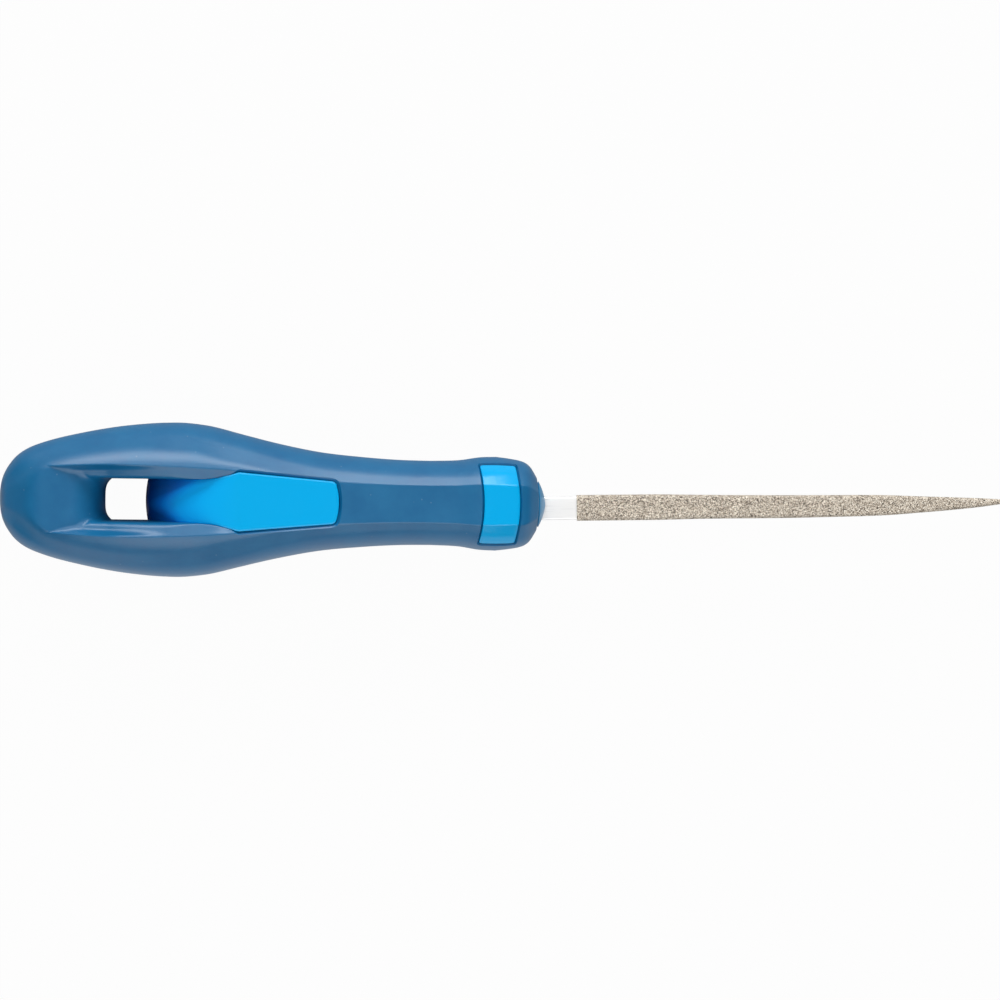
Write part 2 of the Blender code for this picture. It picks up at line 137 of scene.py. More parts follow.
# Ledges between the rims and the throat. A pair of rises or drops is for the rear and the front
# of the change, and over the fade the ledge narrows away to nothing.
LEDGE_ROUND = 0.0006
LEDGE_OUTER_share = 0.52
LEDGE_RISE_shares = (0.14, 0.48)
LEDGE_DROPS = (0.0025, 0.0009)
LEDGE_CHANGE = (0.0240, 0.0380)
LEDGE_INNER = 0.0054
LEDGE_FADE = (0.038, 0.0445)
THROAT_HALF_WIDTH = 0.0065
THROAT_shares = ((0, 0.74), (0.55, 0.745), (0.8, 0.757), (0.88, 0.81), (0.93, 0.885), (1, 1))
THROAT_ROUND = 0.0007

# Tongue of the core: a rounded ramp out of the hole, slightly crowned, up to the panel
RAMP_shares = (
    (0, 0.015), (0.012, 0.1), (0.03, 0.175), (0.068, 0.28), (0.18, 0.5), (0.286, 0.655),
    (0.393, 0.768), (0.505, 0.85), (0.602, 0.905), (0.767, 0.962), (0.9, 0.99), (1, 1),
)
TONGUE_CROWN = 0.0005
TONGUE_RUN_OUT = 0.0040

# Panels. Each ends in a bowed front with round corners, and the grip has a bevelled lip round it.
PANEL_REAR = 0.0532
PANEL_FRONT = 0.0749
PANEL_REAR_HALF_WIDTH = 0.0065
PANEL_FRONT_HALF_WIDTH = 0.0046
PANEL_BOW = 0.0008
PANEL_RECESS = 0.0004
PANEL_CORNER = 0.0007
PANEL_RUN_OUT = 0.0013
PANEL_LIP_WIDTH = 0.0009
PANEL_LIP_DEPTH = 0.0009

# Front windows, which show a band of the core, and their lips
WINDOW_REAR = 0.1066
WINDOW_FRONT = 0.1145
WINDOW_HALF_WIDTH = 0.0089
WINDOW_RECESS = 0.00025
WINDOW_DEPTH = 0.0027
WINDOW_CORNER = 0.0006
WINDOW_BOW = 0.0012
WINDOW_LIP_WIDTH = 0.0006
WINDOW_LIP_DEPTH = 0.0006

# Stem of the core inside the grip, under the grip's wall
GRIP_WALL = 0.0024
STEM_REAR = 0.0545

# Small rounded edges of the core and of the nose, with a middle point between their two ends.
# A seam is the hair's breadth that parts two pieces or faces, and a cutter passes LIP_OVER
# beyond the skin.
EDGE_ROUND = 0.00025
FRONT_EDGE = 0.00012
EDGE_MIDDLE_share = 0.3
SEAM = 0.00006
LIP_OVER = 0.0003

# Nose bush, its bore and the groove round it. The front bows forwards in the middle, most at
# the groove.
SPIGOT_RADIUS = 0.0042
SPIGOT_REAR = HANDLE_LENGTH - 0.0081
BORE_RADIUS = 0.0045
GROOVE_WIDTH = 0.0003
GROOVE_DEPTH = 0.0006
FRONT_BOW = 0.0005
FRONT_BOW_REAR = 0.1148

# File. The blank ends a little short of the tip, inside the coating.
FILE_LENGTH = 0.1000
FILE_LEAN = math.radians(1.57)
FILE_OFFSET = 0.00088
BARE_SHANK = 0.0068
BLANK_WIDTH = 0.0051
BLANK_THICKNESS = 0.0018
BLANK_EDGE_RADIUS = 0.0004
BLANK_SHORT = 0.0003
BLANK_WIDTH_shares = (
    (0, 1), (0.17, 1), (0.3, 0.925), (0.46, 0.885), (0.6, 0.84), (0.685, 0.8),
    (0.74, 0.745), (0.8, 0.62), (0.88, 0.455), (0.95, 0.28), (1, 0.11),
)
BLANK_THICKNESS_shares = ((0, 1), (0.5, 1), (0.75, 0.82), (1, 0.42))
BLADE_BOW = 0.0004
BLADE_BOW_shares = ((0, 0), (0.25, 0.3), (0.55, 1), (0.8, 0.9), (0.93, 0.45), (1, 0))
TANG_LENGTH = 0.0440
TANG_FRONT = 0.0081
TANG_END = 0.0005
TANG_END_WIDTH = 0.0022
TANG_END_THICKNESS = 0.0012
SOCKET_GAP = 0.0002
COAT_THICKNESS = 0.000225
BOND_GAP = 0.00005
GRAIN_SIZE = 0.00016
GRAIN_DEPTH = 0.00003

# Counts of points across a quarter of the grip: outer skin, the spans of the channel's side from
# beyond the rim to the foot, the lap on its floor, and the floor
SKIN_STEPS = 36
SPAN_STEPS = (5, 7, 5, 4, 7)
SIDE_STEPS = sum(SPAN_STEPS)
LAP_STEPS = 6
LAP_share = 0.75
FLOOR_STEPS = 10

# Counts of rows along the grip
BUTT_ROWS = 24
BAR_ROWS = 40
SLOT_ROWS = 50
WAIST_ROWS = 58
COLLAR_ROWS = 26
FRONT_ROWS = 24

# Counts for the other forms: a grid's steps along and across, or rows and points. The tongue's
# rows crowd towards the hole by a power.
OPENING_GRID = (60, 48)
TONGUE_GRID = (96, 48)
TONGUE_CROWDING_power = 1.6
WINDOW_GRID = (28, 110)
STEM_STEPS = 24
NOSE_STEPS = 48
NOSE_ROWS = 20
BLADE_EDGE_STEPS = 6
COAT_ROWS = 60
GRIT_ROWS = 480
GRIT_COLUMNS = 80

# Painted shade on the tongue: its colour darkens down the ramp towards the hole, where shade
# falls, and a painted shadow of the channel's walls darkens it by a curve across, from a line a
# little below the middle, but not past a share of the ramp's own painted shade
TONGUE_PAINTED_SHADOW_ASIDE = 0.001
TONGUE_PAINTED_SHADOW_curve = 20000.0
TONGUE_PAINTED_SHADOW_share = 0.4

# Limits of the mesh work: halvings in a search, points this near are one, edges this short go,
# and edges sharper than the crease angle stay sharp
HALVINGS = 30
MERGE_GAP = 1e-6
LEAST_EDGE = 1e-7
CREASE_ANGLE = math.radians(38)

# Camera. It hangs over the middle of the object, turned and tilted a little as in the photograph.
CAMERA_DISTANCE = 1.2
CAMERA_AIM = (-0.00004, 0.00083, 0.0132)
CAMERA_TURN = math.radians(0.73)
CAMERA_TILT = math.radians(-1.7)
PICTURE_WIDTH = 0.22
SENSOR_WIDTH = 36

# Stage: what the lamps face, how white the paper looks to the camera and through clear things,
# where in Y it is first mirrored in full, and how much the world lights and looks lighter
LAMP_AIM = (0, 0, 0.013)
PAPER_SEEN = 0.97
PAPER_THROUGH = 0.4
PAPER_MIRRORED_FROM = -0.03
WORLD_LIGHT = 0.12
WORLD_SEEN = 0.87

# Where the middle of the butt and the middle of the nose lie in the frame
GRIP_LOW, GRIP_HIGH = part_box("grip_overmould")
HANDLE = Matrix.Translation((GRIP_LOW.x, 0, (GRIP_LOW.z + GRIP_HIGH.z) / 2))
FILE = (
    HANDLE
    @ Matrix.Translation((HANDLE_LENGTH, -FILE_OFFSET, 0))
    @ Matrix.Rotation(FILE_LEAN, 4, "Z")
)


def smooth_value(shares, place):
    """The value at a place of a table of (place, value) pairs, on a smooth curve through them."""
    place = min(max(place, shares[0][0]), shares[-1][0])
    last = len(shares) - 1
    span = next(i for i in range(last) if place <= shares[i + 1][0])
    (x0, y0), (x1, y1) = shares[span], shares[span + 1]
    slope = (y1 - y0) / (x1 - x0)
    before = slope if span == 0 else (y0 - shares[span - 1][1]) / (x0 - shares[span - 1][0])
    after = slope if span + 1 == last else (shares[span + 2][1] - y1) / (shares[span + 2][0] - x1)
    start = (before + slope) / 2 if before * slope > 0 else 0
    end = (after + slope) / 2 if after * slope > 0 else 0
    t = (place - x0) / (x1 - x0)
    rise = (start * (1 - t) ** 2 * t - end * t**2 * (1 - t)) * (x1 - x0)
    return y0 * (1 - t) ** 2 * (1 + 2 * t) + y1 * t**2 * (3 - 2 * t) + rise


def between(first, second, share):
    return first + (second - first) * share


def passed(x, start, end):
    """The share of the way from start to end that x has passed, from 0 to 1."""
    return min(max((x - start) / (end - start), 0), 1)


def steps(count):
    """Shares from just past 0 to 1, evenly spaced."""
    return [(i + 1) / count for i in range(count)]


def half_size(x, bulb, neck, collar, butt_shares, waist_shares):
    """Half of the handle's width or height at x, from its full sizes at the three stations."""
    if x <= BULB_STATION:
        return bulb / 2 * smooth_value(butt_shares, math.sqrt(max(x, 0) / BULB_STATION))
    if x <= NECK_STATION:
        share = smooth_value(waist_shares, (x - BULB_STATION) / (NECK_STATION - BULB_STATION))
        return between(neck, bulb, share) / 2
    if x <= COLLAR_STATION:
        share = smooth_value(COLLAR_shares, (x - NECK_STATION) / (COLLAR_STATION - NECK_STATION))
        return between(neck, collar, share) / 2
    share = (x - COLLAR_STATION) / (HANDLE_LENGTH - COLLAR_STATION)
    return collar / 2 * smooth_value(FRONT_shares, share)


def half_width(x):
    tables = (BUTT_WIDTH_shares, WAIST_WIDTH_shares)
    return half_size(x, BULB_WIDTH, NECK_WIDTH, COLLAR_WIDTH, *tables)


def half_height(x):
    tables = (BUTT_HEIGHT_shares, WAIST_HEIGHT_shares)
    return half_size(x, BULB_HEIGHT, NECK_HEIGHT, COLLAR_HEIGHT, *tables)


class Section:
    """A quarter of the handle's cross-section at x, from the top's middle round to the side.

    It has five parts: the top facet, the crease, the slanted facet, the round edge and the side
    facet. An inset draws all of them in alike.
    """

    def __init__(self, x, inset=0):
        width, height = half_width(x), half_height(x)
        place, least = x / HANDLE_LENGTH, min(width, height)
        crease = least * smooth_value(CREASE_shares, place)
        top = width * smooth_value(TOP_FACET_shares, place)
        side = height * smooth_value(SIDE_FACET_shares, place)
        up, reach = height - crease - side, width - top
        edge = (reach**2 + up**2 - crease**2) / (reach - crease) / 2
        edge *= smooth_value(ROUNDNESS_shares, place)
        across = reach - edge
        self.tilt = math.atan2(across, up) + math.asin((edge - crease) / math.hypot(across, up))
        cosine, sine = math.cos(self.tilt), math.sin(self.tilt)
        self.crease = max(crease - inset, min(crease, SEAM))
        self.edge = max(edge - inset, min(edge, SEAM))
        rest = inset - (crease - self.crease)
        self.upper = (top - rest * (1 - sine) / cosine, height - crease - rest)
        rest = inset - (edge - self.edge)
        self.lower = (width - edge - rest, side - rest * (1 - cosine) / sine)
        slant = math.dist(self.point_on(1, 1), self.point_on(3, 0))
        self.lengths = (
            self.upper[0], self.crease * (math.pi / 2 - self.tilt), slant,
            self.edge * self.tilt, self.lower[1],
        )

    def point_on(self, part, share):
        """The (y, z) point at a share of the way along one part."""
        if part == 0:
            return self.upper[0] * share, self.upper[1] + self.crease
        if part == 4:
            return self.lower[0] + self.edge, self.lower[1] * (1 - share)
        if part == 2:
            (y0, z0), (y1, z1) = self.point_on(1, 1), self.point_on(3, 0)
            return between(y0, y1, share), between(z0, z1, share)
        if part == 1:
            centre, radius = self.upper, self.crease
            angle = between(math.pi / 2, self.tilt, share)
        else:
            centre, radius = self.lower, self.edge
            angle = self.tilt * (1 - share)
        return centre[0] + radius * math.cos(angle), centre[1] + radius * math.sin(angle)

    def place(self, run):
        """The (part, share) at a length measured along the skin from the top's middle."""
        for part, length in enumerate(self.lengths):
            if run <= length or part == 4:
                return part, min(run / length, 1)
            run -= length

    def at(self, run):
        return self.point_on(*self.place(run))

    def run_to(self, y):
        """The length along the skin from the top's middle to a half-width y."""
        low, high = 0, sum(self.lengths[:4])
        for _ in range(HALVINGS):
            middle = (low + high) / 2
            if self.at(middle)[0] < y:
                low = middle
            else:
                high = middle
        return high


def rim_half_width(x):
    """Half of the width between the channel's rims, which also guides the rows beyond it."""
    if x < RIM_REAR:
        return half_width(x) / half_width(RIM_REAR) * rim_half_width(RIM_REAR)
    if x <= PANEL_REAR:
        return RIM_HALF_WIDTH * smooth_value(RIM_shares, (x - RIM_REAR) / (PANEL_REAR - RIM_REAR))
    facet = half_width(x) * smooth_value(TOP_FACET_shares, x / HANDLE_LENGTH)
    on_neck = facet * RIM_ON_NECK_share
    closing = passed(x, PANEL_REAR, PANEL_FRONT)
    return between(rim_half_width(PANEL_REAR), on_neck, closing) if closing < 1 else on_neck


def tongue_top(x):
    """Height of the core's tongue and panel: a rounded ramp, then just under the grip's skin."""
    if x >= PANEL_REAR:
        return half_height(x) - PANEL_RECESS
    share = (x - HOLE_FRONT) / (PANEL_REAR - HOLE_FRONT)
    return (half_height(PANEL_REAR) - PANEL_RECESS) * smooth_value(RAMP_shares, share)


def throat(x):
    """Half of the width between the channel's walls, just under the ledges."""
    share = (x - RIM_REAR) / (PANEL_REAR - RIM_REAR)
    return THROAT_HALF_WIDTH * smooth_value(THROAT_shares, share)


def channel_side(x):
    """The channel's side at x as (y, z) points: rim, the ledge's two edges, throat and foot."""
    section = Section(x)
    rim_y, rim_z = section.at(section.run_to(rim_half_width(x)))
    fade = passed(x, *LEDGE_FADE)
    inner = max(between(LEDGE_INNER, throat(x), fade), throat(x))
    change = passed(x, *LEDGE_CHANGE)
    level = max(rim_z - between(*LEDGE_DROPS, change), tongue_top(x) - SEAM)
    rise = between(*LEDGE_RISE_shares, change)
    return [
        (rim_y, rim_z),
        (between(inner, rim_y, LEDGE_OUTER_share), between(level, rim_z, rise)),
        (inner, level),
        (throat(x), level - between(THROAT_ROUND, SEAM, fade)),
        (HOLE_WIDTH / 2, 0),
    ]


def turned(start, corner, end, share):
    """A point on the round curve from start to end that a corner between them pulls out."""
    return tuple(
        a * (1 - share) ** 2 + b * 2 * share * (1 - share) + c * share**2
        for a, b, c in zip(start, corner, end)
    )


def mid(first, last, share):
    """A point at a share of the way from the first point to the last."""
    return tuple(between(a, b, share) for a, b in zip(first, last))


def rounded(points, rounds, counts):
    """A line through points with a count of steps on each span and its corners rounded.

    rounds gives how far from each corner its rounding starts, at most half a span.
    """
    lengths = [math.dist(a, b) for a, b in zip(points, points[1:])]
    made = [points[0]]
    for span, count in enumerate(counts):
        for share in steps(count):
            corner = span if share < 0.5 else span + 1
            spot = mid(points[span], points[span + 1], share)
            if 0 < corner < len(counts):
                reach = rounds[corner - 1]
                glow_to_gloss = [min(reach / length, 0.5) for length in lengths[corner - 1:corner + 1]]
                past = share / glow_to_gloss[1] if corner == span else (share - 1) / glow_to_gloss[0]
                if abs(past) < 1:
                    start = mid(points[corner], points[corner - 1], glow_to_gloss[0])
                    end = mid(points[corner], points[corner + 1], glow_to_gloss[1])
                    spot = turned(start, points[corner], end, (past + 1) / 2)
            made.append(spot)
    return made


def floored(side, floor):
    """A channel's side down to its floor, with a fillet, and on over the floor.

    The side meets the floor at a corner, between the point before count and the one at it. The
    fillet starts at the side's last point that is nearly a reach away from the corner.
    """
    rim = SPAN_STEPS[0]
    count = next((i for i in range(rim + 1, len(side)) if side[i][1] <= floor), len(side) - 1)
    above, below = side[count - 1], side[count]
    corner = mid(above, below, passed(floor, above[1], below[1]))
    lap = (corner[0] * LAP_share, min(floor, corner[1]))
    rest = SIDE_STEPS + LAP_STEPS - count
    line = side[:count] + [mid(corner, lap, i / rest) for i in range(rest + 1)]
    reach = min(BAR_FILLET * floor / bar_floor(0), math.dist(side[rim], corner), corner[0] - lap[0])
    if reach < SEAM:
        return line
    least = reach * FILLET_REACH_share
    start = next(spot for spot in reversed(side[:count]) if math.dist(spot, corner) >= least)
    end = mid(corner, lap, reach / math.dist(corner, lap))
    made = []
    for i, spot in enumerate(line):
        past = math.dist(spot, corner) / (reach if i >= count else math.dist(start, corner))
        if past < 1 and i > rim:
            spot = turned(start, corner, end, (1 + (past if i >= count else -past)) / 2)
        made.append(spot)
    return made


def front_shift(x, y):
    """How far the front is bowed forwards at (x, y), most at the groove."""
    if x <= GROOVE_STATION:
        fade = passed(x, FRONT_BOW_REAR, GROOVE_STATION) ** 2
    else:
        fade = (HANDLE_LENGTH - x) / (HANDLE_LENGTH - GROOVE_STATION)
    return FRONT_BOW * (1 - min(y / half_width(x), 1) ** 2) * fade


def bar_floor(x):
    """Height of the bar behind the hang hole: it rises to its top, then rounds down."""
    rise = passed(x, BUTT_RAMP_TOP, BAR_TOP)
    turn = passed(x, BAR_TOP, HOLE_REAR)
    raised = BAR_RISE_slope * (BAR_TOP - BUTT_RAMP_TOP) * rise * (1 - rise / 2)
    return (half_height(BUTT_RAMP_TOP) + raised) * math.sqrt(1 - turn**2)


def lesser(first, second, reach):
    """The lesser of two heights, rounded where they come within a reach of each other."""
    glow_to_gloss = max(reach - abs(first - second), 0)
    return min(first, second) - (glow_to_gloss**2 / reach / 4 if reach > 0 else 0)


def hole_shift(x, y, height):
    """How far the hole's rear corners are drawn forwards, at a share of the rim's height."""
    reach = HOLE_REAR - BUTT_RAMP_TOP if x <= HOLE_REAR else HOLE_REAR_BOW_FADE
    glow_to_gloss = max(1 - abs(x - HOLE_REAR) / reach, 0) * max(1 - height, 0)
    return HOLE_REAR_BOW * min(y / HOLE_WIDTH * 2, 1) ** HOLE_REAR_BOW_power * glow_to_gloss


def grip_row(x, channelled, inset=0):
    """One row of the grip's quarter at x, from the side over the rim to the middle."""
    section = Section(x, inset)
    top = section.run_to(rim_half_width(x))
    outer = top + RIM_BESIDE
    whole = sum(section.lengths)
    skin = [section.at(between(whole, outer, i / SKIN_STEPS)) for i in range(SKIN_STEPS)]
    rim = section.at(top)
    floor = bar_floor(x) if channelled else BULB_HEIGHT

    def covered(y, z):
        return y, lesser(z, floor, BAR_ROUND * max(1 - (y / rim[0]) ** 2, 0))

    if floor < rim[1]:
        rounds = (RIM_ROUND, LEDGE_ROUND, LEDGE_ROUND, LEDGE_ROUND)
        side = rounded([section.at(outer), *channel_side(x)], rounds, SPAN_STEPS)
        across = floored(side, floor)
    else:
        count = SIDE_STEPS + LAP_STEPS
        lap = section.run_to(rim[0] * LAP_share)
        across = [section.at(between(outer, lap, i / count)) for i in range(count + 1)]
        across = [covered(y, z) for y, z in across]
    middle = [across[-1][0] * (1 - share) for share in steps(FLOOR_STEPS)]
    middle = [covered(y, section.at(section.run_to(y))[1]) for y in middle]
    row = []
    for i, (y, z) in enumerate(skin + across + middle):
        shift = 0
        if not channelled:
            shift = front_shift(x, y)
        elif i >= SKIN_STEPS:
            shift = hole_shift(x, y, z / rim[1])
        row.append(Vector((x + shift, y, z)))
    return row


def sheet(rows):
    """A grid of faces laid over rows of points, with each vertex's row and column."""
    form = bmesh.new()
    high, wide = len(rows) - 1, len(rows[0]) - 1
    bmesh.ops.create_grid(form, x_segments=high, y_segments=wide, size=1)
    places = {}
    for vert in form.verts:
        i, j = round((vert.co.x + 1) / 2 * high), round((vert.co.y + 1) / 2 * wide)
        places[vert] = (i, j)
    for vert, (i, j) in places.items():
        vert.co = rows[i][j]
    return form, places


def close(form):
    """Joins the seams and poles of a form and turns its faces outwards."""
    bmesh.ops.remove_doubles(form, verts=form.verts, dist=MERGE_GAP)
    bmesh.ops.dissolve_degenerate(form, edges=form.edges, dist=LEAST_EDGE)
    bmesh.ops.recalc_face_normals(form, faces=form.faces)


def quarter(rows, opened=None):
    """A moulding that is alike on both faces and sides, from rows of points over one quarter.

    opened says which faces are left out.
    """
    form, places = sheet(rows)
    if opened:
        out = []
        for face in form.faces:
            corners = [places[vert] for vert in face.verts]
            if opened(min(i for i, _ in corners), min(j for _, j in corners)):
                out.append(face)
        bmesh.ops.delete(form, geom=out, context="FACES")
    for axis in "YZ":
        whole = form.verts[:] + form.edges[:] + form.faces[:]
        bmesh.ops.mirror(form, geom=whole, axis=axis, merge_dist=LEAST_EDGE)
    close(form)
    return form


def tube(rings):
    """A closed solid over rings of points, whose first and last rings are drawn to a spot."""
    ends = [[sum(ring, Vector()) / len(ring)] * len(ring) for ring in (rings[0], rings[-1])]
    rows = [ring + ring[:1] for ring in (ends[0], *rings, ends[1])]
    form, _ = sheet(rows)
    close(form)
    return form


def block(along, across, levels, locate):
    """A closed solid grown from a grid through levels: locate gives each spot's place."""
    form = bmesh.new()
    spot = form.verts.layers.float_vector.new("spot")
    bmesh.ops.create_grid(form, x_segments=along, y_segments=across, size=1)
    for vert in form.verts:
        vert[spot] = vert.co
        vert.co = locate(vert.co.x, vert.co.y, levels[0])
    made = form.verts[:] + form.edges[:] + form.faces[:]
    for level in levels[1:]:
        made = bmesh.ops.extrude_face_region(form, geom=made)["geom"]
        for vert in made:
            if isinstance(vert, bmesh.types.BMVert):
                vert.co = locate(vert[spot].x, vert[spot].y, level)
    close(form)
    return form


def piece(name, form):
    """A new object from a bmesh."""
    if form.calc_volume(signed=True) < 0:
        bmesh.ops.reverse_faces(form, faces=form.faces)
    mesh = bpy.data.meshes.new(name)
    form.to_mesh(mesh)
    form.free()
    mesh.shade_smooth()
    made = bpy.data.objects.new(name, mesh)
    bpy.context.scene.collection.objects.link(made)
    return made


def cut(target, cutters, operation="DIFFERENCE"):
    """Cuts solids away from a piece, or adds them to it, and leaves only the result."""
    for cutter in cutters:
        step = target.modifiers.new(cutter.name, "BOOLEAN")
        step.object = cutter
        step.operation = operation
        step.solver = "EXACT"
    bpy.context.view_layer.update()
    shaped = target.evaluated_get(bpy.context.evaluated_depsgraph_get())
    mesh = bpy.data.meshes.new_from_object(shaped)
    mesh.set_sharp_from_angle(angle=CREASE_ANGLE)
    target.modifiers.clear()
    target.data = mesh
    for cutter in cutters:
        bpy.data.objects.remove(cutter)


def grip_stations():
    """Rows along the grip as (x, channelled): butt, round bar, slot, waist, collar and front."""
    rows = [(BUTT_RAMP_TOP * share**2, True) for share in steps(BUTT_ROWS)]
    for share in steps(BAR_ROWS):
        turn = math.sin(share * math.pi / 2)
        rows.append((between(BUTT_RAMP_TOP, HOLE_REAR, turn), True))
    rows += [(between(HOLE_REAR, PANEL_REAR, share), True) for share in steps(SLOT_ROWS)]
    rows.append((PANEL_REAR, False))
    front = GROOVE_STATION - GROOVE_WIDTH / 2 - FRONT_EDGE
    for start, end, count in (
        (PANEL_REAR, NECK_STATION, WAIST_ROWS),
        (NECK_STATION, COLLAR_STATION, COLLAR_ROWS),
        (COLLAR_STATION, front, FRONT_ROWS),
    ):
        rows += [(between(start, end, share), False) for share in steps(count)]
    return rows


def skin_height(x, y):
    """Height of the handle's surface above a point (x, y)."""
    section = Section(x)
    return section.at(section.run_to(abs(y)))[1]


def corner_setback(reach, limit, radius):
    """How far a rounded corner sets an end back, at a reach from the middle out of its limit."""
    over = max(reach - (limit - radius), 0)
    return radius - math.sqrt(max(radius**2 - over**2, 0))


def panel_outline(u, v, grow, rear):
    """A spot (x, y) of the panel between its rear (u = 0) and its bowed, rounded front (u = 1)."""
    front_width = PANEL_FRONT_HALF_WIDTH + grow
    setback = corner_setback(abs(v) * front_width, front_width, PANEL_CORNER + max(grow, 0))
    x = between(rear, PANEL_FRONT + grow - PANEL_BOW * v**2 - setback, u)
    share = (x - PANEL_REAR) / (PANEL_FRONT - PANEL_REAR)
    return x, v * (between(PANEL_REAR_HALF_WIDTH, PANEL_FRONT_HALF_WIDTH, share) + grow)


def opening_spot(u, v, level):
    """A spot of the solid that opens the grip over the panel and fades out along the tongue."""
    grow, depth, face = level
    rear = PANEL_REAR - TONGUE_RUN_OUT
    x, y = panel_outline((u + 1) / 2, v, grow, rear)
    if x < PANEL_REAR:
        y = v * (throat(x) + between(-SEAM, grow, (x - rear) / TONGUE_RUN_OUT))
    return Vector((x, y, face * (skin_height(x, y) - depth)))


def tongue_spot(u, v, level):
    """A spot of the tongue and panel: u runs up the ramp to 0 and along the panel to 1."""
    grow, depth, face = level
    if u > 0:
        x, y = panel_outline(u, v, grow, PANEL_REAR)
        return Vector((x, y, face * (tongue_top(x) - depth)))
    x = between(HOLE_FRONT, PANEL_REAR, (u + 1) ** TONGUE_CROWDING_power)
    top = tongue_top(x)
    narrow = HOLE_WIDTH / 2 if not face else throat(x)
    closing = min(max(1 - (PANEL_REAR - x) / PANEL_RUN_OUT, 0), 1)
    width = between(narrow, PANEL_REAR_HALF_WIDTH, closing) + grow
    bow = HOLE_FRONT_BOW * (1 - v**2) * max(1 - (x - HOLE_FRONT) / TONGUE_RUN_OUT, 0)
    top -= min(TONGUE_CROWN, top / 2) * v**2 * (PANEL_REAR - x) / (PANEL_REAR - HOLE_FRONT)
    return Vector((x - bow, v * width, face * (top - min(depth, top / 2))))


def window_spot(u, v, level):
    """A spot of the front window, which leans back on the slanted facets."""
    grow, inset = level
    middle = Section((WINDOW_REAR + WINDOW_FRONT) / 2)
    limit = middle.run_to(WINDOW_HALF_WIDTH) + grow
    run = abs(v) * limit
    y = middle.at(run)[0]
    setback = corner_setback(run, limit, WINDOW_CORNER + max(grow, 0))
    lean = WINDOW_BOW * (y / WINDOW_HALF_WIDTH) ** 2
    rear = WINDOW_REAR - grow - lean + setback
    front = WINDOW_FRONT + grow - lean - setback
    x = between(rear, front, (u + 1) / 2)
    y, z = Section(x, inset).point_on(*Section(x).place(run))
    return Vector((x, math.copysign(y, v), z))


def flip(form):
    """Turns a form over to the handle's other face."""
    bmesh.ops.rotate(form, verts=form.verts, matrix=Matrix.Rotation(math.pi, 3, "X"))
    return form


def window(name, levels):
    """The front window's form on both faces of the handle."""
    upper = piece(name + "_above", block(*WINDOW_GRID, levels, window_spot))
    return [upper, piece(name + "_below", flip(block(*WINDOW_GRID, levels, window_spot)))]


def skin_row(x, inset, count):
    """A quarter of the handle's outline at x, as points from the side to the top."""
    section = Section(x, inset)
    whole = sum(section.lengths)
    return [Vector((x, *section.at(whole * (1 - i / count)))) for i in range(count + 1)]


def pole(x, count):
    """A row of points that all lie on the axis at x, and so closes a quarter's end."""
    return [Vector((x, 0, 0))] * (count + 1)


def stem(name, inset, rear, front):
    """The core inside the grip, a wall's thickness under its skin."""
    places = [between(rear, front, share) for share in (0, *steps(STEM_STEPS))]
    rows = [skin_row(x, inset, STEM_STEPS) for x in places]
    return piece(name, quarter([pole(rear, STEM_STEPS), *rows, pole(front, STEM_STEPS)]))


def arc(radius, x, count):
    """A quarter circle of points from the side to the top."""
    turns = [math.pi / 2 * i / count for i in range(count + 1)]
    return [Vector((x, radius * math.cos(turn), radius * math.sin(turn))) for turn in turns]


def shifted(points):
    """Points on the front, bowed forwards with it."""
    return [point + Vector((front_shift(point.x, point.y), 0, 0)) for point in points]


def blade_size(x):
    """The blank's width and thickness at x from the nose."""
    if x < -TANG_FRONT:
        share = (x + TANG_LENGTH) / (TANG_LENGTH - TANG_FRONT)
        return (
            between(TANG_END_WIDTH, BLANK_WIDTH, share),
            between(TANG_END_THICKNESS, BLANK_THICKNESS, share),
        )
    share = (x - BARE_SHANK) / (FILE_LENGTH - BARE_SHANK)
    width = BLANK_WIDTH * smooth_value(BLANK_WIDTH_shares, share)
    return width, BLANK_THICKNESS * smooth_value(BLANK_THICKNESS_shares, share)


def blade_ring(x, grow):
    """A flat section of the blank at x with rounded edges, grown on all sides."""
    width, thickness = blade_size(x)
    radius = min(BLANK_EDGE_RADIUS, min(thickness, width) / 3) + grow
    y, z = width / 2 + grow - radius, thickness / 2 + grow - radius
    ring = []
    for turn, (cy, cz) in enumerate([(y, z), (-y, z), (-y, -z), (y, -z)]):
        for step in range(BLADE_EDGE_STEPS + 1):
            angle = math.pi / 2 * (turn + step / BLADE_EDGE_STEPS)
            ring.append(Vector((x, cy + radius * math.cos(angle), cz + radius * math.sin(angle))))
    return ring


def bowed(x, ring):
    """A ring of the blade, set over to where the blade's slight sideways bow brings it."""
    share = (x - BARE_SHANK) / (FILE_LENGTH - BARE_SHANK)
    aside = Vector((0, -BLADE_BOW * smooth_value(BLADE_BOW_shares, share), 0))
    return [point + aside for point in ring]


def blank_form(places, grow=0):
    """The blank's form over places along the file."""
    return tube([bowed(x, blade_ring(x, grow)) for x in places])


